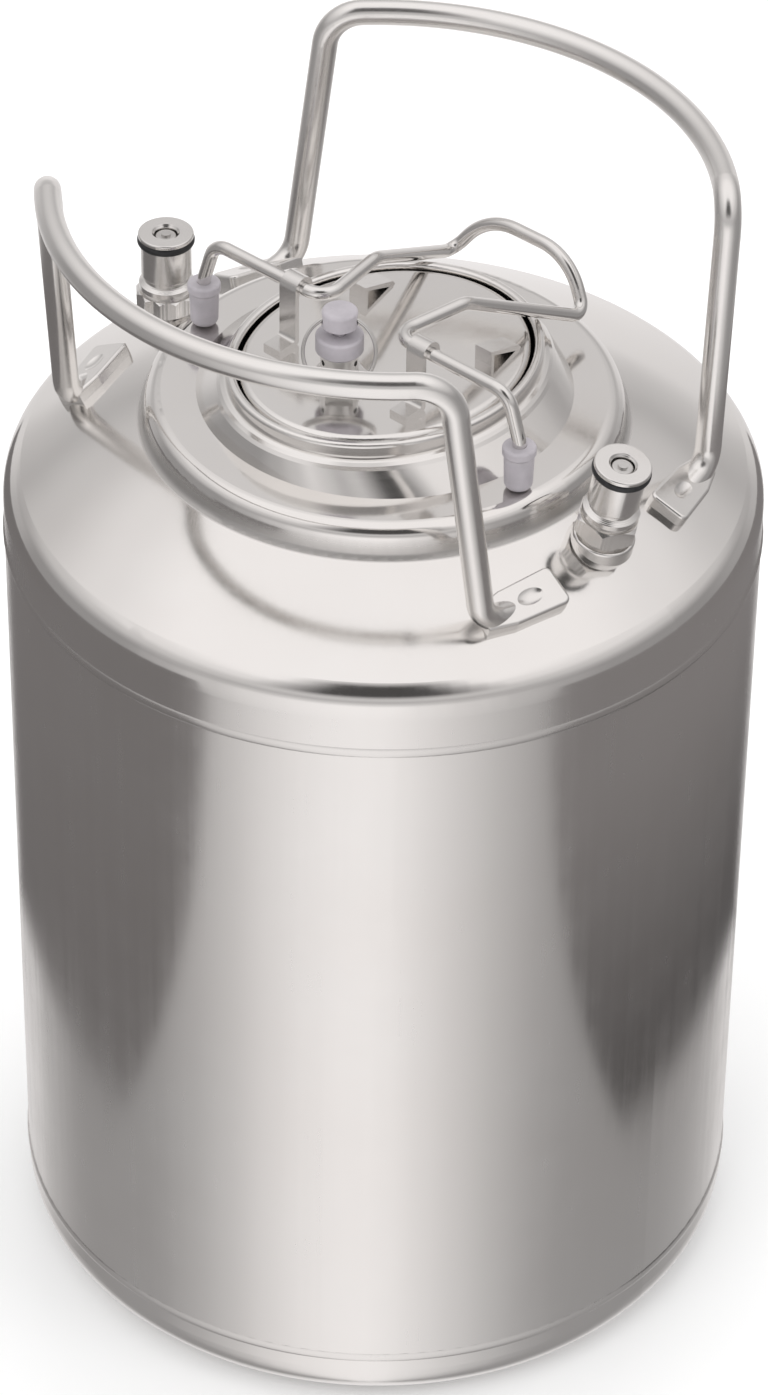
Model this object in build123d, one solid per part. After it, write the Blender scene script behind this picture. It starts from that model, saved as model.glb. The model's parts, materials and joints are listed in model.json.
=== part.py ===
"""Small stainless-steel beer keg with ball-lock posts, a clamped oval lid and two rod handles.

Millimetres. The origin is the centre of the standing ring, at the bottom, with +Z up.
The liquid post is on +X and the gas post on -X; the handles are on -Y (front) and +Y (rear).
The lid's bail turns about a line parallel to X and is folded down towards +Y.
Each named piece is one STEP file in parts/.
"""
from build123d import *
import os
from math import atan2, cos, degrees, radians, sin, sqrt

# ---------------------------------------------------------------- driving dimensions
BODY_R = 115.0              # outer radius of the keg
WALL = 1.5                  # sheet thickness of the vessel
LOWER_WELD_Z = 22.0         # where the bottom head meets the cylinder
UPPER_WELD_Z = 268.0        # where the top head meets the cylinder
WELD_WIDTH = 3.2
WELD_HEIGHT = 0.45

KNUCKLE_R = 11.0            # corner radius of the top head
KNUCKLE_Z = 280.0           # where that corner begins, above a short upright skirt
CROWN_R = 218.0             # dome radius of the top head
PLATEAU_R = 72.5            # foot of the raised plateau around the mouth
PLATEAU_Z = 315.8

FOOT_OUTER_R = 99.0         # flat standing ring of the bottom head
FOOT_INNER_R = 90.0
DISH_RIM = (84.0, 8.0)      # radius and height where the bottom dish begins
DISH_Z = 3.5                # lowest outside point of the dish, at the centre

MOUTH_X, MOUTH_Y = 41.5, 48.3       # half axes of the oval mouth
MOUTH_LIP_Z = 319.5                 # lower edge of the mouth's turned-down lip
COLLAR_R = 56.5             # round foot of the collar that rises to the oval mouth
# Outside of the collar above its foot: (distance out from the mouth's edge, height).
COLLAR_SLOPE = ((6.4, 322.2), (5.5, 323.1), (4.5, 323.8), (3.4, 324.2), (2.4, 324.4))
RIM_OUT = 2.9               # upright rim round the mouth
RIM_TOP = 328.9

LID_TOP = 328.3
LID_GAP = 0.9               # slit between the lid and the mouth
LID_FLANGE_Z = 314.0        # underside of the lid's sealing flange
LID_FLANGE_OVERHANG = 5.6   # how far the flange reaches out under the lip
LID_SEAL_R = 1.85

LIQUID_RADIUS = 91.5        # distance of each post's top face from the keg's axis
GAS_RADIUS = 89.5
POST_LENGTH = 33.0          # from the post's local origin to its top face
POST_SINK = 2.0             # how far that origin lies under the dome
LIQUID_LEAN = 12.0          # degrees: this spud is welded square to the dome, leaning outwards
POST_BODY_R = 7.8
POST_TOP_R = 8.55
SPUD_R = 7.3
SPUD_FLANGE_R = 9.4
SPUD_SHOULDER = 6.4         # the post screws down to this height
SPUD_NECK_TOP = 12.5
HEX_TOP = 12.5
POPPET_TRAVEL = 3.0
DIP_TUBE_R = 4.0
DIP_TUBE_WALL = 0.8
DIP_SEAL_R = 0.85           # wire radius of the seal under the dip tube's flange
DIP_FLANGE_Z = 14.25
GAS_TUBE_DEPTH = 26.0       # below the dome
DIP_TUBE_END_Z = 10.5       # foot of the liquid tube above the standing plane

PIVOT_Y, PIVOT_Z = -12.0, 347.0     # axis of the bail, parallel to X
BAIL_R = 2.1                        # half the bail wire's diameter
BOOT_X = 62.4                       # feet of the bail
BOOT_BOTTOM = 316.15
BOOT_TOP = 331.0
BOOT_R = 4.55
BRACKET_X = 25.0
BRACKET_WIDTH = 6.4
BRACKET_SHEET = 1.6
BRACKET_PLAY = 0.07                 # running clearance on the wire
CLIP_FRONT = 15.5                   # upright face of the clip behind each bracket

RELIEF_Y = -20.5                    # relief valve, on the lid's long axis
RELIEF_TURN = 41.0                  # degrees: which way its pull ring faces
RELIEF_NECK_R = 6.0                 # part that goes through the lid
RELIEF_SEAT_Z = 318.0
RELIEF_BODY_TOP = 339.4
RELIEF_BONNET_TOP = 345.6
RELIEF_TOP = 354.0
RELIEF_HOLE_Z = 351.0
RING_R = 10.7                       # mean radius of the split ring
RING_WIRE = 1.2
RING_LEAN = 33.0                    # degrees from hanging straight down

HANDLE_R = 4.0
HANDLE_Z = 385.5                    # centre height of the grip
GRIP_REACH = 98.0                   # from the keg's axis to the middle of the grip
GRIP_ARC_R = 100.0
GRIP_HALF_ANGLE = 44.0
LEG_FOOT = (81.5, -50.5)            # where the front handle's right leg meets the dome
TAB_END = (88.5, -24.0)             # tip of its welded tab
TAB_THICKNESS = 3.4

# ---------------------------------------------------------------- derived places
CROWN_Z = KNUCKLE_Z - sqrt((CROWN_R - KNUCKLE_R) ** 2 - (BODY_R - KNUCKLE_R) ** 2)
CROWN_ANGLE = degrees(atan2(KNUCKLE_Z - CROWN_Z, BODY_R - KNUCKLE_R))
STAND = (Align.CENTER, Align.CENTER, Align.MIN)


def dome_z(radius):
    """Outside height of the dome at a distance from the axis."""
    return CROWN_Z + sqrt(CROWN_R ** 2 - radius ** 2)


# ---------------------------------------------------------------- helpers
def save(name, solid):
    """Write one piece to its own STEP file."""
    export_step(solid, f"parts/{name}.step")


def turned(edges, rounds=()):
    """Solid of revolution about Z from edges drawn as (radius, height).

    Each entry of rounds is (radius, height, fillet): the corner nearest that point is rounded.
    """
    face = make_face(edges)
    for radius, height, fillet_r in rounds:
        corner = face.vertices().sort_by_distance((radius, height, 0))[0]
        face = fillet(corner, fillet_r)
    return revolve(Plane.XZ * face, Axis.Z)


def lathe(*points, rounds=()):
    """Solid of revolution about Z from a closed outline of (radius, height) points."""
    return turned(Polyline(*points, close=True).edges(), rounds)


def tube(outer_r, inner_r, bottom, top):
    """Plain round tube about Z."""
    return lathe((inner_r, bottom), (outer_r, bottom), (outer_r, top), (inner_r, top))


def rod(radius, bottom, top):
    """Plain round bar about Z."""
    return Pos(0, 0, bottom) * Cylinder(radius, top - bottom, align=STAND)


def oval(half_x, half_y, bottom, top):
    """Upright prism on an ellipse."""
    return extrude(Pos(0, 0, bottom) * Ellipse(half_x, half_y), top - bottom)


def hexagon(across_flats, bottom, top):
    """Upright hexagonal prism."""
    corner_r = across_flats / sqrt(3)
    return extrude(Pos(0, 0, bottom) * RegularPolygon(corner_r, 6), top - bottom)


def o_ring(mean_r, wire_r, height):
    """Round rubber ring about Z."""
    return Pos(0, 0, height) * Torus(mean_r, wire_r)


def coil_spring(mean_r, wire_r, bottom, top, turns):
    """Compression spring about Z that just fits between two heights."""
    height = top - bottom - 2 * wire_r
    path = Pos(0, 0, bottom + wire_r) * Helix(pitch=height / turns, height=height, radius=mean_r)
    section = Plane(origin=path @ 0, z_dir=path % 0) * Circle(wire_r)
    return sweep(section, path=path)


def wire_form(path, radius):
    """Round bar along a path."""
    section = Plane(origin=path @ 0, z_dir=path % 0) * Circle(radius)
    return sweep(section, path=path)


# ---------------------------------------------------------------- placing the posts
def post_frame(side, lean, radius):
    """Location of a post: its local Z is the post's axis."""
    foot_r = radius - POST_LENGTH * sin(radians(lean))
    return Pos(side * foot_r, 0, dome_z(foot_r) - POST_SINK) * Rot(0, side * lean, 0)


LIQUID_FRAME = post_frame(1, LIQUID_LEAN, LIQUID_RADIUS)
GAS_FRAME = post_frame(-1, 0.0, GAS_RADIUS)


# ---------------------------------------------------------------- vessel
def shell_cylinder():
    """Rolled cylinder between the two girth welds."""
    return tube(BODY_R, BODY_R - WALL, LOWER_WELD_Z, UPPER_WELD_Z)


def top_head():
    """Pressed dome with a raised plateau, open in the middle for the collar."""
    knuckle = (BODY_R - KNUCKLE_R, KNUCKLE_Z)
    inner_r = PLATEAU_R - WALL
    outer_z = dome_z(PLATEAU_R)
    inner_crown = CROWN_R - WALL
    inner_z = CROWN_Z + sqrt(inner_crown ** 2 - inner_r ** 2)
    outer_stop = degrees(atan2(outer_z - CROWN_Z, PLATEAU_R))
    inner_stop = degrees(atan2(inner_z - CROWN_Z, inner_r))
    edges = [
        CenterArc(knuckle, KNUCKLE_R, 0, CROWN_ANGLE),
        CenterArc((0, CROWN_Z), CROWN_R, CROWN_ANGLE, outer_stop - CROWN_ANGLE),
        Line((PLATEAU_R, outer_z), (PLATEAU_R - 1, PLATEAU_Z)),
        Line((PLATEAU_R - 1, PLATEAU_Z), (COLLAR_R, PLATEAU_Z)),
        Line((COLLAR_R, PLATEAU_Z), (COLLAR_R, PLATEAU_Z - WALL)),
        Line((COLLAR_R, PLATEAU_Z - WALL), (inner_r - 1, PLATEAU_Z - WALL)),
        Line((inner_r - 1, PLATEAU_Z - WALL), (inner_r, inner_z)),
        CenterArc((0, CROWN_Z), inner_crown, CROWN_ANGLE, inner_stop - CROWN_ANGLE),
        CenterArc(knuckle, KNUCKLE_R - WALL, 0, CROWN_ANGLE),
        Line((BODY_R - WALL, KNUCKLE_Z), (BODY_R - WALL, UPPER_WELD_Z)),
        Line((BODY_R - WALL, UPPER_WELD_Z), (BODY_R, UPPER_WELD_Z)),
        Line((BODY_R, UPPER_WELD_Z), (BODY_R, KNUCKLE_Z)),
    ]
    rounds = [
        (PLATEAU_R, outer_z, 2.2),
        (PLATEAU_R - 1, PLATEAU_Z, 5.0),
        (inner_r - 1, PLATEAU_Z - WALL, 3.5),
        (inner_r, inner_z, 3.5),
    ]
    head = turned(edges, rounds)
    for frame in (LIQUID_FRAME, GAS_FRAME):
        head -= frame * rod(SPUD_R, -20, 20)
    return head


def bottom_head():
    """Pressed bottom with a flat standing ring and a shallow dish that drains to the middle."""
    rim_r, rim_z = DISH_RIM
    points = [
        (BODY_R, LOWER_WELD_Z),
        (BODY_R, 0),
        (FOOT_INNER_R, 0),
        (rim_r, rim_z),
        (0, DISH_Z),
        (0, DISH_Z + WALL),
        (rim_r - 0.8, rim_z + WALL),
        (FOOT_INNER_R + 0.9, WALL),
        (BODY_R - WALL, WALL),
        (BODY_R - WALL, LOWER_WELD_Z),
    ]
    outer_knuckle = BODY_R - FOOT_OUTER_R
    rounds = [
        (BODY_R, 0, outer_knuckle),
        (BODY_R - WALL, WALL, outer_knuckle - WALL),
        (FOOT_INNER_R, 0, 3.0),
        (FOOT_INNER_R + 0.9, WALL, 1.5),
        (rim_r, rim_z, 3.0),
        (rim_r - 0.8, rim_z + WALL, 4.5),
    ]
    return lathe(*points, rounds=rounds)


def girth_weld(height):
    """Low bead all round the keg, on the outside of a joint."""
    half = WELD_WIDTH / 2
    crest = (BODY_R + WELD_HEIGHT, height)
    edges = [
        Line((BODY_R, height - half), (BODY_R, height + half)),
        ThreePointArc((BODY_R, height + half), crest, (BODY_R, height - half)),
    ]
    return turned(edges)


def mouth_oval(out, height):
    """Outline a given distance outside the mouth's edge."""
    return Pos(0, 0, height) * Ellipse(MOUTH_X + out, MOUTH_Y + out)


def lid_collar():
    """Collar that rises from a round foot to the oval mouth, with an upright rim and a turned-down lip."""
    skirt = PLATEAU_Z - WALL - 1.0
    body = rod(COLLAR_R, skirt, PLATEAU_Z)
    below = Pos(0, 0, PLATEAU_Z) * Ellipse(COLLAR_R, COLLAR_R)
    for out, height in COLLAR_SLOPE:
        above = mouth_oval(out, height)
        body += loft([below, above], ruled=True)
        below = above
    cone_out, cone_top = COLLAR_SLOPE[0]
    inner_r = COLLAR_R - 2.2
    hollow = rod(inner_r, skirt - 1, PLATEAU_Z - 0.6)
    hollow_foot = Pos(0, 0, PLATEAU_Z - 0.6) * Ellipse(inner_r, inner_r)
    hollow += loft([hollow_foot, mouth_oval(cone_out - 1.9, cone_top - 0.6)], ruled=True)
    body -= hollow
    rim_foot = cone_top - 1.0
    body += oval(MOUTH_X + RIM_OUT, MOUTH_Y + RIM_OUT, rim_foot, RIM_TOP)
    body += oval(MOUTH_X + WALL, MOUTH_Y + WALL, MOUTH_LIP_Z, rim_foot + 1)
    body -= oval(MOUTH_X, MOUTH_Y, skirt - 1, RIM_TOP + 1)
    rim_edges = body.edges().group_by(Axis.Z)[-1]
    return fillet(rim_edges, 1.1)


# ---------------------------------------------------------------- handles
def on_dome(x, y, lift):
    """Point above the dome, measured square to its surface."""
    scale = (CROWN_R + lift) / CROWN_R
    height = CROWN_Z + sqrt(CROWN_R ** 2 - x ** 2 - y ** 2)
    return Vector(x * scale, y * scale, CROWN_Z + (height - CROWN_Z) * scale)


def welded_tab():
    """Flattened end of the right leg, lying on the dome, with a shallow pressed dimple."""
    start = on_dome(LEG_FOOT[0], LEG_FOOT[1], 0)
    end = on_dome(TAB_END[0], TAB_END[1], 0)
    length = (end - start).length
    along = (end - start).normalized()
    middle = on_dome((start.X + end.X) / 2, (start.Y + end.Y) / 2, 0)
    outward = Vector(middle.X, middle.Y, middle.Z - CROWN_Z).normalized()
    plane = Plane(origin=middle, x_dir=along, z_dir=outward)
    outline = Polyline(
        (-length / 2, -4.0),
        (-length / 2 + 9.0, -6.0),
        (length / 2, -6.6),
        (length / 2, 6.6),
        (-length / 2 + 9.0, 6.0),
        (-length / 2, 4.0),
        close=True,
    )
    shape = make_face(outline.edges())
    tip_corners = shape.vertices().group_by(Axis.X)[-1]
    shape = fillet(tip_corners, 2.4)
    pad = Pos(0, 0, -3) * extrude(shape, TAB_THICKNESS + 3)
    pad = fillet(pad.edges().group_by(Axis.Z)[-1], 1.0)
    dimple = Pos(3.0, 0, TAB_THICKNESS + 1.5) * scale(Sphere(1), by=(5.6, 3.4, 2.3))
    return plane * (pad - dimple)


def front_handle():
    """Bent rod handle on the -Y side, with its two tabs."""
    centre_y = -GRIP_REACH + GRIP_ARC_R
    half = radians(GRIP_HALF_ANGLE)
    corner_run = 12.0
    grip_end = Vector(GRIP_ARC_R * sin(half), centre_y - GRIP_ARC_R * cos(half), HANDLE_Z)
    corner = grip_end + Vector(cos(half), sin(half), 0) * corner_run
    foot = on_dome(LEG_FOOT[0], LEG_FOOT[1], 3.6)
    tab_end = on_dome(TAB_END[0], TAB_END[1], -6.0)
    rod_end = foot + (tab_end - foot) * 0.5
    leg = FilletPolyline(rod_end, foot, corner, grip_end, radius=[9.0, corner_run - 0.5])
    grip_middle = Vector(0, -GRIP_REACH, HANDLE_Z)
    mirrored_end = Vector(-grip_end.X, grip_end.Y, HANDLE_Z)
    grip = ThreePointArc(grip_end, grip_middle, mirrored_end)
    other_leg = mirror(leg, about=Plane.YZ)
    path = Wire(list(leg.edges()) + list(grip.edges()) + list(other_leg.edges()))
    section = Plane(origin=rod_end, z_dir=(foot - rod_end).normalized()) * Circle(HANDLE_R)
    bar = sweep(section, path=path)
    tab = welded_tab()
    handle = bar + tab + mirror(tab, about=Plane.YZ)
    return handle - Pos(0, 0, CROWN_Z) * Sphere(CROWN_R)


# ---------------------------------------------------------------- ball-lock posts
def spud(frame):
    """Threaded boss welded through the dome, with a low flange outside."""
    boss = lathe(
        (4.4, -20),
        (SPUD_R, -20),
        (SPUD_R, SPUD_SHOULDER),
        (6.5, SPUD_SHOULDER),
        (6.5, SPUD_NECK_TOP),
        (4.4, SPUD_NECK_TOP),
    )
    flange_top = POST_SINK + 2.6
    flange = lathe(
        (SPUD_R - 1, -5),
        (SPUD_FLANGE_R, -5),
        (SPUD_FLANGE_R, flange_top),
        (SPUD_R - 1, flange_top),
        rounds=[(SPUD_FLANGE_R, flange_top, 0.9)],
    )
    dome = Pos(0, 0, CROWN_Z) * Sphere(CROWN_R)
    inside = Pos(0, 0, CROWN_Z) * Sphere(CROWN_R - WALL - 2.0)
    return frame * boss - inside + (frame * flange - dome)


def post_body(frame, star):
    """Screwed post: hexagon or twelve-point nut, ball groove, seal groove and top rim."""
    chamber_top = 28.5
    if star:
        nut = hexagon(16.8, SPUD_SHOULDER, HEX_TOP)
        nut += Rot(0, 0, 30) * nut
    else:
        nut = hexagon(17.5, SPUD_SHOULDER, HEX_TOP)
    nut &= lathe(
        (0, SPUD_SHOULDER),
        (8.9, SPUD_SHOULDER),
        (10.4, SPUD_SHOULDER + 1.2),
        (10.4, HEX_TOP - 1.2),
        (8.9, HEX_TOP),
        (0, HEX_TOP),
    )
    barrel = lathe(
        (0, HEX_TOP),
        (7.7, HEX_TOP),
        (7.7, HEX_TOP + 0.9),
        (8.5, HEX_TOP + 1.2),
        (8.5, HEX_TOP + 2.8),
        (6.9, HEX_TOP + 3.8),
        (6.9, HEX_TOP + 4.8),
        (POST_BODY_R, HEX_TOP + 6.0),
        (POST_BODY_R, 29.0),
        (6.7, 29.0),
        (6.7, 31.8),
        (POST_TOP_R, 31.8),
        (POST_TOP_R, POST_LENGTH),
        (0, POST_LENGTH),
        rounds=[(POST_TOP_R, POST_LENGTH, 0.5)],
    )
    bore = lathe(
        (0, 0),
        (6.55, 0),
        (6.55, SPUD_NECK_TOP + 0.3),
        (5.8, SPUD_NECK_TOP + 0.3),
        (5.8, chamber_top),
        (3.6, chamber_top),
        (3.6, POST_LENGTH - 0.8),
        (4.3, POST_LENGTH),
        (4.3, POST_LENGTH + 1),
        (0, POST_LENGTH + 1),
    )
    return frame * (nut + barrel - bore)


def post_oring(frame):
    """Black seal in the groove under the post's rim."""
    rounds = [(8.85, 29.1, 1.2), (8.85, 31.7, 1.2)]
    return frame * lathe((6.75, 29.1), (8.85, 29.1), (8.85, 31.7), (6.75, 31.7), rounds=rounds)


def poppet(frame):
    """Sprung valve pin that fills the post's mouth."""
    pin = lathe(
        (0, 20.5),
        (1.6, 20.5),
        (1.6, 25.0),
        (5.2, 25.0),
        (5.2, 26.8),
        (2.6, 26.8),
        (2.6, 28.4),
        (3.3, 28.6),
        (3.3, 32.0),
        (1.5, 32.0),
        (1.5, 32.6),
        (0, 32.6),
        rounds=[(3.3, 32.0, 0.7), (1.6, 20.5, 0.4)],
    )
    return frame * pin


def poppet_seal(frame):
    """Rubber washer on the poppet's shoulder."""
    return frame * lathe((2.6, 26.8), (4.9, 26.8), (4.9, 27.8), (4.4, 28.25), (2.6, 28.25))


def poppet_spring(frame):
    """Spring between the dip tube's flange and the poppet."""
    return frame * coil_spring(4.3, 0.4, DIP_FLANGE_Z + 1.05, 24.95, 4.0)


def dip_tube(frame, depth):
    """Flanged tube that hangs through the spud."""
    inner_r = DIP_TUBE_R - DIP_TUBE_WALL
    flange = tube(5.6, inner_r, DIP_FLANGE_Z, DIP_FLANGE_Z + 1.0)
    return frame * (flange + tube(DIP_TUBE_R, inner_r, -depth, DIP_FLANGE_Z))


def dip_tube_oring(frame):
    """Seal between the dip tube's flange and the spud."""
    return frame * o_ring(DIP_TUBE_R + DIP_SEAL_R + 0.05, DIP_SEAL_R, SPUD_NECK_TOP + DIP_SEAL_R)


def build_post(prefix, frame, star, depth):
    """All the pieces of one post."""
    save(f"{prefix}_spud", spud(frame))
    save(f"{prefix}_post", post_body(frame, star))
    save(f"{prefix}_post_oring", post_oring(frame))
    save(f"{prefix}_poppet", poppet(frame))
    save(f"{prefix}_poppet_seal", poppet_seal(frame))
    save(f"{prefix}_poppet_spring", poppet_spring(frame))
    save(f"{prefix}_dip_tube", dip_tube(frame, depth))
    save(f"{prefix}_dip_tube_oring", dip_tube_oring(frame))


# ---------------------------------------------------------------- lid
def lid_plate():
    """Pressed oval lid: a flat top, a wall and a flange that seals from below."""
    half_x, half_y = MOUTH_X - LID_GAP, MOUTH_Y - LID_GAP
    flange_top = LID_FLANGE_Z + WALL
    top = oval(half_x, half_y, LID_FLANGE_Z, LID_TOP)
    rim = top.edges().group_by(Axis.Z)[-1]
    top = fillet(rim, 2.2)
    reach = LID_FLANGE_OVERHANG
    flange = oval(half_x + reach, half_y + reach, LID_FLANGE_Z, flange_top)
    plate = top + flange
    plate -= oval(half_x - WALL, half_y - WALL, LID_FLANGE_Z - 1, LID_TOP - WALL)
    return plate - Pos(0, RELIEF_Y, 0) * rod(RELIEF_NECK_R + 0.05, LID_FLANGE_Z, LID_TOP + 1)


def lid_oring():
    """Oval seal that lies on the lid's flange."""
    half_x = MOUTH_X - LID_GAP + LID_SEAL_R + 0.1
    half_y = MOUTH_Y - LID_GAP + LID_SEAL_R + 0.1
    height = LID_FLANGE_Z + WALL + LID_SEAL_R
    path = Pos(0, 0, height) * Wire.make_ellipse(half_x, half_y)
    section = Plane(origin=path @ 0, z_dir=path % 0) * Circle(LID_SEAL_R)
    return sweep(section, path=path)


def lid_section(side):
    """Plane across a bracket or clip: local X runs along +Y, local Y runs up, from the bail's axis."""
    return Plane(origin=(side * BRACKET_X, PIVOT_Y, PIVOT_Z), x_dir=(0, 1, 0), z_dir=(1, 0, 0))


def bail_bracket(side):
    """Strap with a foot spot-welded to the lid, an upright and a hook curled round the bail wire."""
    inner_r = BAIL_R + BRACKET_PLAY
    outer_r = inner_r + BRACKET_SHEET
    base = LID_TOP - PIVOT_Z
    hook = Circle(outer_r) - Circle(inner_r)
    open_corner = Polyline((0, 0), (-6, 0), (-6, -8), (5.14, -6.13), close=True)
    hook -= make_face(open_corner.edges())
    strap = Polyline(
        (-outer_r, 0),
        (-outer_r, base + BRACKET_SHEET),
        (-outer_r - 7.0, base + BRACKET_SHEET),
        (-outer_r - 7.0, base),
        (-inner_r, base),
        (-inner_r, 0),
        close=True,
    )
    sheet = make_face(strap.edges())
    inner_bend = sheet.vertices().sort_by_distance((-outer_r, base + BRACKET_SHEET))[0]
    sheet = fillet(inner_bend, 1.4)
    outer_bend = sheet.vertices().sort_by_distance((-inner_r, base))[0]
    sheet = fillet(outer_bend, 1.3)
    return lid_section(side) * extrude(hook + sheet, BRACKET_WIDTH / 2, both=True)


def bail_clip(side):
    """Small bent clip behind a bracket: an upright face and a top that slopes back to the lid."""
    base = LID_TOP - PIVOT_Z
    front = CLIP_FRONT - PIVOT_Y
    outline = Polyline(
        (front, base),
        (front, base + 5.0),
        (front + 12.6, base + 1.3),
        (front + 13.6, base),
        (front + 11.0, base),
        (front + 1.2, base + 3.4),
        (front + 1.2, base),
        close=True,
    )
    shape = make_face(outline.edges())
    return lid_section(side) * extrude(shape, BRACKET_WIDTH / 2, both=True)


# ---------------------------------------------------------------- bail
def bail_wire():
    """One bent wire: foot, pivot, leg, raised grip, and the same on the other side."""
    half = [
        (BOOT_X, PIVOT_Y, BOOT_BOTTOM + 2.4),
        (BOOT_X, PIVOT_Y, BOOT_TOP + 1.0),
        (57.6, PIVOT_Y, PIVOT_Z),
        (13.5, PIVOT_Y, PIVOT_Z),
        (17.6, 15.4, 346.3),
        (26.5, 61.0, 322.3),
        (16.0, 65.5, 337.5),
    ]
    half_radii = [9.0, 7.0, 6.2, 9.0, 4.4, 20.0]
    mirrored = [(-x, y, z) for x, y, z in reversed(half)]
    radii = half_radii + half_radii[::-1]
    return wire_form(FilletPolyline(*half, *mirrored, radius=radii), BAIL_R)


def bail_boot(side):
    """Moulded foot pushed on the wire's end, with a thicker lip at its top."""
    socket_r = BAIL_R + 0.03
    boot = lathe(
        (0, BOOT_BOTTOM),
        (BOOT_R - 0.35, BOOT_BOTTOM),
        (BOOT_R, BOOT_TOP - 3.4),
        (BOOT_R + 0.5, BOOT_TOP - 2.6),
        (BOOT_R + 0.5, BOOT_TOP),
        (socket_r, BOOT_TOP),
        (socket_r, BOOT_BOTTOM + 2.3),
        (0, BOOT_BOTTOM + 2.3),
        rounds=[(BOOT_R - 0.35, BOOT_BOTTOM, 2.2), (BOOT_R + 0.5, BOOT_TOP, 0.9)],
    )
    return Pos(side * BOOT_X, PIVOT_Y, 0) * boot


# ---------------------------------------------------------------- relief valve
RELIEF_FRAME = Pos(0, RELIEF_Y, 0) * Rot(0, 0, RELIEF_TURN)


def relief_body():
    """Valve body through the lid: hexagon, barrel with vents, bore and seat."""
    body = rod(RELIEF_NECK_R, 315.8, LID_TOP + 1.0)
    body += hexagon(14.0, LID_TOP, LID_TOP + 4.0)
    body += rod(5.6, LID_TOP + 4.0, RELIEF_BODY_TOP)
    body -= rod(4.0, RELIEF_SEAT_Z, RELIEF_BODY_TOP + 1)
    body -= rod(2.3, 310, RELIEF_BODY_TOP)
    vent = Pos(0, 0, RELIEF_BODY_TOP - 2.6) * Rot(0, 90, 0) * Cylinder(0.9, 20)
    for turn in (30, 150):
        body -= Rot(0, 0, turn) * vent
    return RELIEF_FRAME * body


def relief_bonnet():
    """Screwed cover that holds the spring and guides the stem."""
    bonnet = lathe(
        (2.05, RELIEF_BODY_TOP),
        (6.4, RELIEF_BODY_TOP),
        (7.2, RELIEF_BODY_TOP + 0.9),
        (7.2, RELIEF_BONNET_TOP),
        (2.05, RELIEF_BONNET_TOP),
        rounds=[(7.2, RELIEF_BONNET_TOP, 0.9)],
    )
    return RELIEF_FRAME * bonnet


def relief_nut():
    """Nut under the lid that clamps the valve."""
    nut = hexagon(16.0, LID_TOP - WALL - 4.1, LID_TOP - WALL) - rod(RELIEF_NECK_R + 0.04, 318, LID_TOP)
    return RELIEF_FRAME * nut


def relief_stem():
    """Pull stem: the knob with its cross hole, the shaft and the valve disc."""
    knob_base = RELIEF_TOP - 5.4
    stem = lathe(
        (0, 319.5),
        (3.5, 319.5),
        (3.5, 320.7),
        (1.7, 320.7),
        (1.7, RELIEF_BONNET_TOP + 1.6),
        (3.2, RELIEF_BONNET_TOP + 1.6),
        (3.2, knob_base),
        (5.35, knob_base),
        (5.35, RELIEF_TOP),
        (0, RELIEF_TOP),
        rounds=[(5.35, RELIEF_TOP, 0.9), (5.35, knob_base, 0.3)],
    )
    cross_hole = Pos(0, 0, RELIEF_HOLE_Z) * Rot(0, 90, 0) * Cylinder(1.95, 20)
    return RELIEF_FRAME * (stem - cross_hole)


def relief_seal():
    """Rubber disc that the spring presses on the seat."""
    return RELIEF_FRAME * rod(3.4, RELIEF_SEAT_Z + 0.2, 319.5)


def relief_spring():
    """Spring between the bonnet and the valve disc."""
    return RELIEF_FRAME * coil_spring(2.9, 0.35, 320.75, RELIEF_BODY_TOP - 0.05, 6.5)


def relief_ring():
    """Split ring of two turns, hanging from the knob's cross hole and leaning forwards."""
    turns = 2.0
    pitch = RING_WIRE * 1.02
    coil = Pos(0, 0, -pitch * turns / 2) * Helix(pitch=pitch, height=pitch * turns, radius=RING_R)
    ring = wire_form(coil, RING_WIRE / 2)
    hang = RING_R - 0.7
    down = Pos(0, 0, RELIEF_HOLE_Z) * Rot(-RING_LEAN, 0, 0) * Pos(0, 0, -hang)
    return RELIEF_FRAME * down * Rot(90, 0, 0) * Rot(0, 0, 20) * ring


# ---------------------------------------------------------------- build every piece
def build():
    """Write one STEP file for each piece."""
    os.makedirs("parts", exist_ok=True)
    save("shell_cylinder", shell_cylinder())
    save("top_head", top_head())
    save("bottom_head", bottom_head())
    save("upper_girth_weld", girth_weld(UPPER_WELD_Z))
    save("lower_girth_weld", girth_weld(LOWER_WELD_Z))
    save("lid_collar", lid_collar())
    handle = front_handle()
    save("front_handle", handle)
    save("rear_handle", Rot(0, 0, 180) * handle)
    lean = radians(LIQUID_LEAN)
    liquid_depth = (LIQUID_FRAME.position.Z - DIP_TUBE_END_Z) / cos(lean)
    build_post("liquid", LIQUID_FRAME, False, liquid_depth)
    build_post("gas", GAS_FRAME, True, GAS_TUBE_DEPTH)
    save("lid_plate", lid_plate())
    save("lid_oring", lid_oring())
    save("bail_bracket_right", bail_bracket(1))
    save("bail_bracket_left", bail_bracket(-1))
    save("bail_clip_right", bail_clip(1))
    save("bail_clip_left", bail_clip(-1))
    save("bail_wire", bail_wire())
    save("bail_boot_right", bail_boot(1))
    save("bail_boot_left", bail_boot(-1))
    save("relief_body", relief_body())
    save("relief_bonnet", relief_bonnet())
    save("relief_nut", relief_nut())
    save("relief_stem", relief_stem())
    save("relief_seal", relief_seal())
    save("relief_spring", relief_spring())
    save("relief_ring", relief_ring())


build()
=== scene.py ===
"""Looks of the beer keg: metal, plastic and rubber materials, a pale floor, studio light and the camera."""

import json
from math import cos, pi, radians, sin

import bpy
from mathutils import Matrix, Vector


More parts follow.
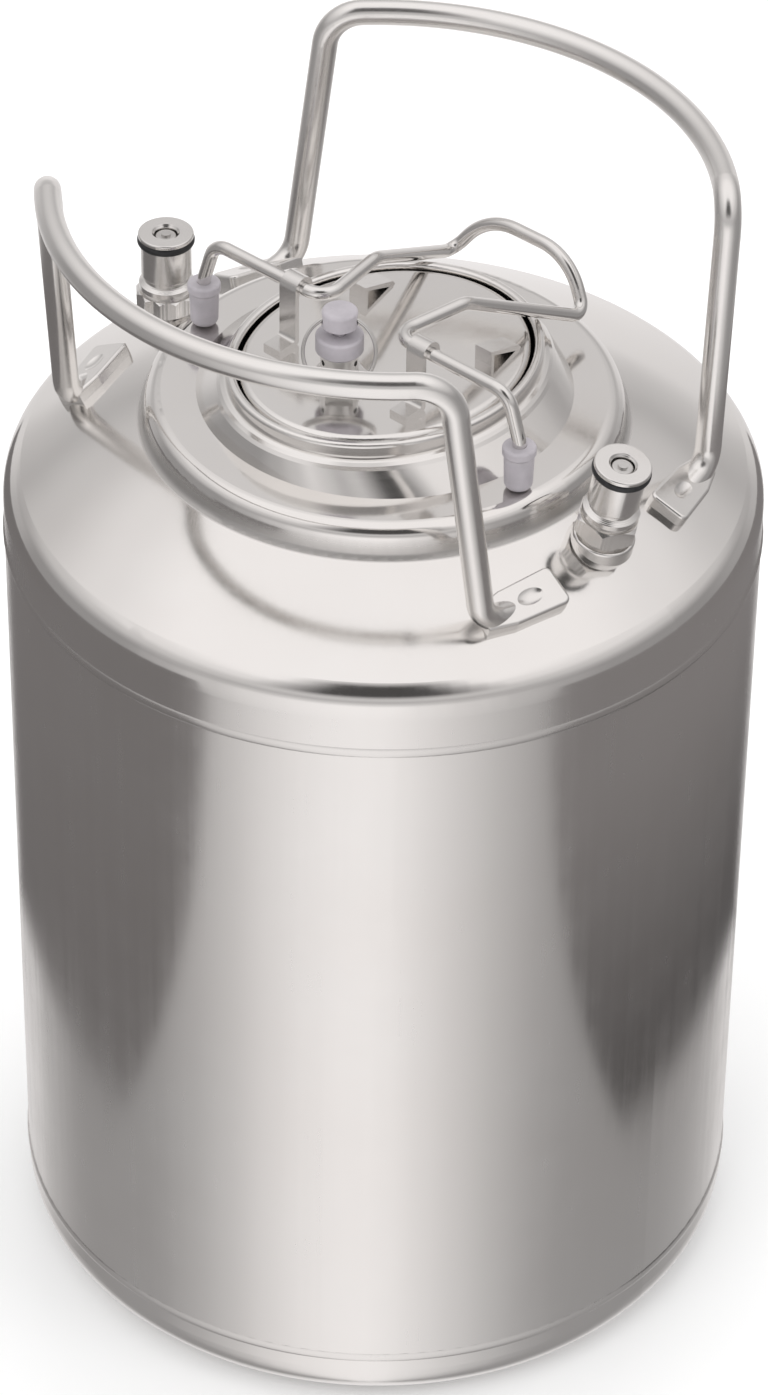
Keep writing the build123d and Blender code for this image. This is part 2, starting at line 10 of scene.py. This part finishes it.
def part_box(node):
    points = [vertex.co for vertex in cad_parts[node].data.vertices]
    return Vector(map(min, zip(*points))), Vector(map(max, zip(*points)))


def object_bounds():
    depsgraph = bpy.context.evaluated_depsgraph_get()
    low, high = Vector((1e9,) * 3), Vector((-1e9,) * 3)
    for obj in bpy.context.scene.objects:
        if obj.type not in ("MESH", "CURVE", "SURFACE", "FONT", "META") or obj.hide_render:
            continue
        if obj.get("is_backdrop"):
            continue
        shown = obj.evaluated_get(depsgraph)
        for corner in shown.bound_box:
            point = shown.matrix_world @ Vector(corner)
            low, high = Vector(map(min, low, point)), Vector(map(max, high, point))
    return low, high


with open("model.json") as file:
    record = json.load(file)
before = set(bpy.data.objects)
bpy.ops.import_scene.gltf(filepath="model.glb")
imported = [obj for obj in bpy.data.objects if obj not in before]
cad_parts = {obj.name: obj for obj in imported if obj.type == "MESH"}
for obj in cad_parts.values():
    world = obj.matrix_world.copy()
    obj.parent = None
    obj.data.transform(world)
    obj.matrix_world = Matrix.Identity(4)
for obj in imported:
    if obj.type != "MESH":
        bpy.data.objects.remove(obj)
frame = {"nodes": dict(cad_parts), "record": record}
cad_low, cad_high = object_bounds()
nodes = frame["nodes"]
mounts = {mount["name"]: mount for mount in frame["record"]["mounts"]}


# ---------------------------------------------------------------- helpers
NOISE_LOW, NOISE_HIGH = 0.3, 0.7    # most values of a noise lie between these two


def put(name, data):
    """Add an object to the scene."""
    thing = bpy.data.objects.new(name, data)
    bpy.context.scene.collection.objects.link(thing)
    return thing


class Tree:
    """Short calls for adding nodes to a node tree."""

    def __init__(self, tree):
        self.tree = tree

    def feed(self, socket, value):
        """Link an output to a socket, or set the socket to a plain value."""
        if isinstance(value, bpy.types.NodeSocket):
            self.tree.links.new(value, socket)
        else:
            socket.default_value = value

    def add(self, kind, inputs=None, **settings):
        """Add one node; inputs maps a socket's name or number to a value or another node's output."""
        node = self.tree.nodes.new(kind)
        for key, value in settings.items():
            setattr(node, key, value)
        for key, value in (inputs or {}).items():
            self.feed(node.inputs[key], value)
        return node

    def math(self, operation, *values):
        """One step of arithmetic."""
        return self.add("ShaderNodeMath", dict(enumerate(values)), operation=operation).outputs[0]

    def vector(self, operation, *values):
        """One step of vector arithmetic with a vector as its result."""
        return self.add("ShaderNodeVectorMath", dict(enumerate(values)), operation=operation).outputs[0]

    def length(self, vector):
        """Length of a vector."""
        return self.add("ShaderNodeVectorMath", {0: vector}, operation="LENGTH").outputs["Value"]

    def remap(self, value, from_low, from_high, to_low=0.0, to_high=1.0):
        """Map a value from one range onto another, clamped."""
        inputs = {0: value, 1: from_low, 2: from_high, 3: to_low, 4: to_high}
        return self.add("ShaderNodeMapRange", inputs).outputs[0]

    def mix(self, factor, first, second):
        """Blend two colours."""
        return self.add("ShaderNodeMix", {0: factor, 6: first, 7: second}, data_type="RGBA").outputs[2]


class Finish(Tree):
    """A new material with one Principled shader."""

    def __init__(self, name):
        self.material = bpy.data.materials.new(name)
        self.material.use_nodes = True
        super().__init__(self.material.node_tree)
        self.shader = self.tree.nodes["Principled BSDF"]
        self.place = self.add("ShaderNodeTexCoord").outputs["Object"]
        self.normal = None

    def set(self, socket, value):
        """Give one of the shader's sockets a value or another node's output."""
        self.feed(self.shader.inputs[socket], value)

    def stretched(self, scale):
        """Object coordinates, scaled along each axis."""
        return self.add("ShaderNodeMapping", {"Vector": self.place, "Scale": scale}).outputs["Vector"]

    def noise(self, vector, scale, detail, rough=0.5):
        """Soft noise from 0 to 1."""
        inputs = {"Vector": vector, "Scale": scale, "Detail": detail, "Roughness": rough}
        return self.add("ShaderNodeTexNoise", inputs).outputs[0]

    def spread(self, noise, low, high):
        """Spread a noise over a range, clamped."""
        return self.remap(noise, NOISE_LOW, NOISE_HIGH, low, high)

    def bump(self, height, distance):
        """Add one more layer of bump, with its depth in metres."""
        inputs = {"Height": height, "Distance": distance, "Strength": 1.0}
        if self.normal is not None:
            inputs["Normal"] = self.normal
        self.normal = self.add("ShaderNodeBump", inputs).outputs[0]
        self.set("Normal", self.normal)


# ---------------------------------------------------------------- steel
CLOUD_SCALE = 14.0                  # noise scales, in features per metre
SMUDGE_SCALE = 55.0
WAVE_SCALE = 9.0
WAVE_DEPTH = 1.2e-4                 # depth of the slow waviness of the sheet, in metres
WARM_LIGHT = (1.0, 0.985, 0.965)    # tint of the lighter clouds in the metal
WARM_DARK = (1.0, 0.975, 0.95)      # tint of the darker clouds
SKIRT_ROUGHNESS = 0.14              # how much rougher the skirt is than the polish above it
SKIRT_FADE = (-0.002, 0.003)        # heights about the skirt's top between which it turns to polish
CREASE_ROUGH_AND_SHADE = 0.36             # how much rougher a tight corner is, and the share of painted shade in its colour
CREASE_FULL, CREASE_END = 0.0006, 0.0013    # distances from the corner where it starts to fade and ends
# Painted shade: the dark colour mixed into the metal at the plateau's crease.
CREASE_PAINTED_SHADE = (0.12, 0.115, 0.11, 1)


def steel(name, tone, rough, lines, line_depth=2e-6, tint=0.05, skirt=None, crease=None):
    """Stainless steel: fine polishing lines, cloudy roughness, slight waviness and a warm tint.

    tone is the grey, rough the low and high roughness, lines the scale of the line noise, and tint how much
    darker the dark clouds are. Below the height skirt the metal is rougher, like the satin body.
    Near the radius crease it is rough, and painted shade darkens its colour there.
    """
    made = Finish(name)
    made.set("Metallic", 1.0)
    clouds = made.noise(made.place, CLOUD_SCALE, detail=4.0)
    fine = made.noise(made.stretched(lines), 1.0, detail=4.0, rough=0.6)
    smudge = made.noise(made.place, SMUDGE_SCALE, detail=6.0, rough=0.65)
    light = tuple(tone * part for part in WARM_LIGHT) + (1,)
    dark = tuple(tone * (1 - tint) * part for part in WARM_DARK) + (1,)
    colour = made.mix(made.spread(clouds, 0, 1), dark, light)
    middle = (rough[0] + rough[1]) / 2
    base = made.spread(smudge, rough[0], middle)
    scratch = made.spread(fine, 0, rough[1] - middle)
    total = made.math("ADD", base, scratch)
    if skirt is not None:
        height = made.add("ShaderNodeSeparateXYZ", {0: made.place}).outputs[2]
        satin = made.remap(height, skirt + SKIRT_FADE[0], skirt + SKIRT_FADE[1], SKIRT_ROUGHNESS, 0.0)
        total = made.math("ADD", total, satin)
    if crease is not None:
        radius = made.length(made.vector("MULTIPLY", made.place, (1, 1, 0)))
        away = made.math("ABSOLUTE", made.math("SUBTRACT", radius, crease))
        crease_rough_and_shade = made.remap(away, CREASE_FULL, CREASE_END, CREASE_ROUGH_AND_SHADE, 0.0)
        total = made.math("ADD", total, crease_rough_and_shade)
        # Painted shade: the metal's colour turns dark at the crease.
        colour = made.mix(crease_rough_and_shade, colour, CREASE_PAINTED_SHADE)
    made.set("Base Color", colour)
    made.set("Roughness", total)
    made.bump(made.noise(made.place, WAVE_SCALE, detail=1.0), WAVE_DEPTH)
    made.bump(fine, line_depth)
    return made


def turned_rings(made, start, axis, spacing, depth):
    """Turning marks: fine grooves round an axis through start."""
    moved = made.vector("SUBTRACT", made.place, start)
    radius = made.length(made.vector("CROSS_PRODUCT", moved, axis))
    wave = made.math("SINE", made.math("MULTIPLY", radius, 2 * pi / spacing))
    made.bump(wave, depth)


# ---------------------------------------------------------------- plastic and rubber
MOTTLE_SCALE = 180.0
MOTTLE_SHADE = 0.82                 # how dark the mottling is against the plain colour
GRAIN_SCALE = 2400.0
GRAIN_DEPTH = 2.5e-5
GRAIN_ROUGHNESS = 0.08              # how far the grain moves the roughness up and down
BLOOM_SCALE = 700.0
BLOOM_DEPTH = 2e-5
RUBBER_BLACK = (0.006, 0.006, 0.007, 1)
RUBBER_DUST = (0.022, 0.022, 0.024, 1)


def plastic(name, colour, rough):
    """Moulded plastic: fine grain, faint mottling."""
    made = Finish(name)
    made.set("IOR", 1.48)
    mottle = made.noise(made.place, MOTTLE_SCALE, detail=4.0)
    darker = tuple(part * MOTTLE_SHADE for part in colour) + (1,)
    made.set("Base Color", made.mix(made.spread(mottle, 0, 1), darker, colour + (1,)))
    grain = made.noise(made.place, GRAIN_SCALE, detail=3.0, rough=0.7)
    made.set("Roughness", made.spread(grain, rough - GRAIN_ROUGHNESS, rough + GRAIN_ROUGHNESS))
    made.bump(grain, GRAIN_DEPTH)
    return made


def rubber(name):
    """Black moulded seal rubber with dusty bloom."""
    made = Finish(name)
    made.set("IOR", 1.5)
    bloom = made.noise(made.place, BLOOM_SCALE, detail=5.0, rough=0.65)
    made.set("Base Color", made.mix(made.spread(bloom, 0, 1), RUBBER_BLACK, RUBBER_DUST))
    made.set("Roughness", made.spread(bloom, 0.32, 0.5))
    made.bump(bloom, BLOOM_DEPTH)
    return made


# ---------------------------------------------------------------- materials
# Scale of the line noise along x, y and z: the lines run where the number is small.
UPRIGHT = (900.0, 900.0, 6.0)       # up the keg
STREAKS = (380.0, 380.0, 4.0)       # up the keg and coarser, for the satin body
LEVEL = (14.0, 14.0, 1500.0)        # round the keg
HANDLE_LINES = (60.0, 500.0, 500.0)  # along x
LID_LINES = (500.0, 20.0, 20.0)     # along y
STRAP_LINES = (900.0, 60.0, 900.0)  # along y
BAIL_LINES = (700.0, 60.0, 700.0)   # along y
SPECKS = (900.0, 900.0, 900.0)      # no direction
SKIRT_TOP = 0.282                   # the head's polish starts above its short upright skirt
# Radius of the tight corner where the plateau meets the dome. Its mesh shades unevenly, so it is made rougher
# there and darkened with painted shade.
PLATEAU_CREASE = 0.0731
GREY_BOOT = (0.46, 0.43, 0.46)
GREY_RELIEF = (0.44, 0.41, 0.44)


def paint(made, *names):
    """Give a material to CAD nodes."""
    for name in names:
        mesh = nodes[name].data
        mesh.materials.clear()
        mesh.materials.append(made.material)


paint(steel("shell_satin", 0.86, (0.17, 0.3), STREAKS, line_depth=3.5e-6, tint=0.03), "shell_cylinder")
paint(steel("head_polished", 0.87, (0.08, 0.15), UPRIGHT, skirt=SKIRT_TOP, crease=PLATEAU_CREASE), "top_head")
paint(steel("foot_satin", 0.86, (0.14, 0.22), UPRIGHT), "bottom_head")
paint(steel("collar_polished", 0.86, (0.09, 0.17), LEVEL), "lid_collar")
paint(steel("weld_bead", 0.84, (0.2, 0.3), LEVEL, line_depth=6e-6), "upper_girth_weld", "lower_girth_weld")
paint(
    steel("handle_rod", 0.86, (0.17, 0.27), HANDLE_LINES, line_depth=3e-6),
    "front_handle",
    "rear_handle",
)
paint(steel("lid_polished", 0.86, (0.08, 0.16), LID_LINES), "lid_plate")
paint(
    steel("bracket_steel", 0.78, (0.16, 0.28), STRAP_LINES, line_depth=6e-6),
    "bail_bracket_left",
    "bail_bracket_right",
    "bail_clip_left",
    "bail_clip_right",
)
paint(steel("bail_rod", 0.82, (0.10, 0.2), BAIL_LINES, line_depth=3e-6), "bail_wire")
paint(plastic("boot_grey", GREY_BOOT, 0.42), "bail_boot_left", "bail_boot_right")
paint(plastic("relief_grey", GREY_RELIEF, 0.34), "relief_bonnet", "relief_stem")

for side in ("liquid", "gas"):
    start = Vector(mounts[side + "_post"]["pos_m"])
    axis = Vector(mounts[side + "_post"]["axis"])
    post = steel(side + "_post_steel", 0.84, (0.14, 0.24), LEVEL, line_depth=3e-6)
    turned_rings(post, start, axis, spacing=0.00045, depth=6e-6)
    paint(post, side + "_post", side + "_spud", side + "_dip_tube")
    pin = steel(side + "_poppet_steel", 0.66, (0.2, 0.3), LEVEL, line_depth=3e-6)
    turned_rings(pin, start, axis, spacing=0.0005, depth=8e-6)
    paint(pin, side + "_poppet")
    paint(rubber(side + "_rubber"), side + "_post_oring", side + "_poppet_seal", side + "_dip_tube_oring")

low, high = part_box("relief_stem")
relief_axis = ((low.x + high.x) / 2, (low.y + high.y) / 2, 0)
relief = steel("relief_steel", 0.74, (0.24, 0.36), LEVEL, line_depth=4e-6)
turned_rings(relief, relief_axis, (0, 0, 1), spacing=0.0005, depth=6e-6)
paint(relief, "relief_body", "relief_nut")
paint(
    steel("spring_steel", 0.72, (0.14, 0.24), SPECKS, line_depth=3e-6),
    "relief_spring",
    "relief_ring",
    "liquid_poppet_spring",
    "gas_poppet_spring",
)
paint(rubber("lid_rubber"), "lid_oring", "relief_seal")


# ---------------------------------------------------------------- smooth shading
SHARP_FROM = radians(28)            # edges that turn more than this stay sharp
for piece in nodes.values():
    piece.data.shade_smooth()
    piece.data.set_sharp_from_angle(angle=SHARP_FROM)


# ---------------------------------------------------------------- floor
FLOOR_RADIUS = 12.0
FLOOR_GAP = 0.0002                  # the floor lies just below the keg's lowest point
FLOOR_SIDES = 128
FLOOR_GREY = (0.96, 0.96, 0.96, 1)


def disc(name, radius, height):
    """Flat round plate."""
    angles = [2 * pi * i / FLOOR_SIDES for i in range(FLOOR_SIDES)]
    points = [(radius * cos(angle), radius * sin(angle), height) for angle in angles]
    mesh = bpy.data.meshes.new(name)
    mesh.from_pydata(points, [], [tuple(range(FLOOR_SIDES))])
    plate = put(name, mesh)
    plate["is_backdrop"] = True
    return plate


floor = disc("floor", FLOOR_RADIUS, cad_low.z - FLOOR_GAP)
paper = Finish("floor_paper")
paper.set("Base Color", FLOOR_GREY)
paper.set("Roughness", 0.9)
floor.data.materials.append(paper.material)
floor.visible_glossy = False


# ---------------------------------------------------------------- studio
CAMERA_AZIMUTH = radians(41.0)
FLAG_DISTANCE = 0.2                 # from the keg's axis
FLAG_COLUMNS, FLAG_ROWS = 24, 12    # faces along and up a flag
FLAG_TINT = (1, 0.94, 0.935, 1)
FULL_SHADE_AT = 0.6                 # share of a flag's top height where it reaches its upper shade
centre = (cad_low + cad_high) / 2


def around(angle, distance, height):
    """Point round the keg; angle 0 is towards the camera and grows to the camera's right."""
    turn = CAMERA_AZIMUTH + angle
    return Vector((distance * sin(turn), -distance * cos(turn), height))


def flag(name, start, end, bottom, top, shade, slant):
    """Curved grey card beside the keg, seen only in its reflections.

    It runs from the angle start to the angle end, in degrees. shade is its grey at the floor and higher up.
    Its inner edge runs outwards towards the floor by slant degrees.
    """
    points = []
    for j in range(FLAG_ROWS + 1):
        rise = j / FLAG_ROWS
        inner = start + slant * (1 - rise) ** 3
        for i in range(FLAG_COLUMNS + 1):
            angle = radians(inner + (end - inner) * i / FLAG_COLUMNS)
            points.append(around(angle, FLAG_DISTANCE, cad_low.z + bottom + (top - bottom) * rise))
    faces = []
    for j in range(FLAG_ROWS):
        for i in range(FLAG_COLUMNS):
            low_corner = j * (FLAG_COLUMNS + 1) + i
            high_corner = low_corner + FLAG_COLUMNS + 1
            faces.append((low_corner, low_corner + 1, high_corner + 1, high_corner))
    mesh = bpy.data.meshes.new(name)
    mesh.from_pydata(points, [], faces)
    card = put(name, mesh)
    cloth = bpy.data.materials.new(name + "_cloth")
    cloth.use_nodes = True
    cloth.node_tree.nodes.clear()
    made = Tree(cloth.node_tree)
    place = made.add("ShaderNodeTexCoord").outputs["Object"]
    height = made.add("ShaderNodeSeparateXYZ", {0: place}).outputs[2]
    grey = made.remap(height, cad_low.z, cad_low.z + FULL_SHADE_AT * top, shade[0], shade[1])
    glow = made.add("ShaderNodeEmission", {"Color": FLAG_TINT, "Strength": grey})
    made.add("ShaderNodeOutputMaterial", {0: glow.outputs[0]})
    mesh.materials.append(cloth)
    card.visible_camera = False
    card.visible_diffuse = False
    card.visible_shadow = False
    card.visible_transmission = False
    card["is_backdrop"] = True


def lamp(name, angle, distance, height, size, watts):
    """Rectangular soft light that looks at the middle of the keg and isn't seen in its reflections."""
    data = bpy.data.lights.new(name, "AREA")
    data.shape = "RECTANGLE"
    data.size, data.size_y = size
    data.energy = watts
    light = put(name, data)
    light.location = around(radians(angle), distance, height)
    light.rotation_euler = (centre - light.location).to_track_quat("-Z", "Y").to_euler()
    light.visible_glossy = False


lamp("key", angle=-30, distance=1.6, height=1.9, size=(1.2, 1.2), watts=8)
lamp("fill", angle=60, distance=1.7, height=1.3, size=(0.7, 1.4), watts=4)
lamp("back", angle=170, distance=1.5, height=1.6, size=(1.4, 0.8), watts=6)
flag("flag_left", start=-38, end=-126, bottom=0.009, top=0.27, shade=(0.15, 0.185), slant=-26)
flag("flag_right", start=37, end=126, bottom=0.003, top=0.27, shade=(0.06, 0.22), slant=26)

# Brightness of the studio by direction: (angle from the camera in degrees, grey) low down,
# and (angle above the horizon in degrees, grey) higher up.
LOW_RING = [
    (-180, 0.9), (-150, 0.74), (-128, 0.46), (-112, 0.32), (-77, 0.33), (-62, 0.45), (-48, 0.6), (-35, 0.8),
    (-22, 0.94), (-8, 1.0), (2, 1.0), (14, 0.85), (26, 0.7), (39, 0.54), (52, 0.4), (66, 0.33),
    (98, 0.31), (120, 0.38), (136, 0.5), (154, 0.76), (180, 0.9),
]
ELEVATIONS = [(-20, 0.4), (-6, 0.3), (8, 0.3), (18, 0.46), (30, 0.62), (46, 0.84), (62, 1.0), (90, 1.0)]

ROOM_TINT = (1, 0.972, 0.968)
DIM = (0.07, 0.067, 0.066, 1)       # the dim patch in front
PLAIN = (1.1, 1.1, 1.1, 1)          # what lights the floor and everything that isn't a reflection
# The low ring fades into the elevations between these two heights of the direction's z.
RING_ENDS, RING_FULL = 0.36, 0.12

world = bpy.data.worlds.new("studio")
world.use_nodes = True
room = Tree(world.node_tree)


def ring(value, stops):
    """Grey by angle; the stops are pairs of degrees and grey, and the value is in radians."""
    lowest, highest = stops[0][0], stops[-1][0]
    ramp = room.add("ShaderNodeValToRGB", {0: room.remap(value, radians(lowest), radians(highest))})
    ramp.color_ramp.interpolation = "EASE"
    elements = ramp.color_ramp.elements
    for index, (angle, grey) in enumerate(stops):
        place = (angle - lowest) / (highest - lowest)
        stop = elements[index] if index < 2 else elements.new(place)
        stop.position = place
        stop.color = tuple(grey * part for part in ROOM_TINT) + (1,)
    return ramp.outputs[0]


def fade(value, none_at, full_at):
    """Share that is 0 at one angle and 1 at another, both in degrees, for a value in radians."""
    return room.remap(value, radians(none_at), radians(full_at))


seen = room.add("ShaderNodeTexCoord").outputs["Generated"]
turned = room.add(
    "ShaderNodeVectorRotate",
    {"Vector": seen, "Angle": -CAMERA_AZIMUTH},
    rotation_type="Z_AXIS",
)
split = room.add("ShaderNodeSeparateXYZ", {0: turned.outputs[0]})
sideways = room.math("ARCTAN2", split.outputs[0], room.math("MULTIPLY", split.outputs[1], -1.0))
upwards = room.math("ARCSINE", split.outputs[2])
# A dim patch behind and above the camera gives the dark line on the shoulder and the dark spot on the collar.
in_front = fade(room.math("ABSOLUTE", sideways), none_at=42, full_at=18)
above_low = fade(upwards, none_at=30, full_at=40)
below_high = fade(upwards, none_at=76, full_at=66)
patch = room.math("MULTIPLY", in_front, room.math("MULTIPLY", above_low, below_high))
by_height = room.mix(patch, ring(upwards, ELEVATIONS), DIM)
low_part = room.remap(split.outputs[2], RING_ENDS, RING_FULL)
reflected = room.mix(low_part, by_height, ring(sideways, LOW_RING))
shiny = room.add("ShaderNodeLightPath").outputs["Is Glossy Ray"]
sky = room.tree.nodes["Background"]
room.feed(sky.inputs["Color"], room.mix(shiny, PLAIN, reflected))
sky.inputs["Strength"].default_value = 1.0
bpy.context.scene.world = world
bpy.context.scene.view_settings.view_transform = "Standard"


# ---------------------------------------------------------------- camera
TILT = radians(38.58)               # downwards from level
ROLL = radians(-0.77)
LENS = 140.7                        # focal length in millimetres
CAMERA_PLACE = (0.8736, -1.0035, 1.2583)

flat_right = Vector((1, 0, 0))
ahead = Vector((0, cos(TILT), -sin(TILT)))
flat_up = Vector((0, sin(TILT), cos(TILT)))
right = flat_right * cos(ROLL) - flat_up * sin(ROLL)
up = flat_right * sin(ROLL) + flat_up * cos(ROLL)
axes = Matrix((right, up, -ahead)).transposed()
turn = Matrix.Rotation(CAMERA_AZIMUTH, 3, "Z")

lens = bpy.data.cameras.new("camera")
lens.lens = LENS
lens.clip_start, lens.clip_end = 0.05, 60.0
camera = put("camera", lens)
camera.matrix_world = Matrix.Translation(CAMERA_PLACE) @ (turn @ axes).to_4x4()
bpy.context.scene.camera = camera


low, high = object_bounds()
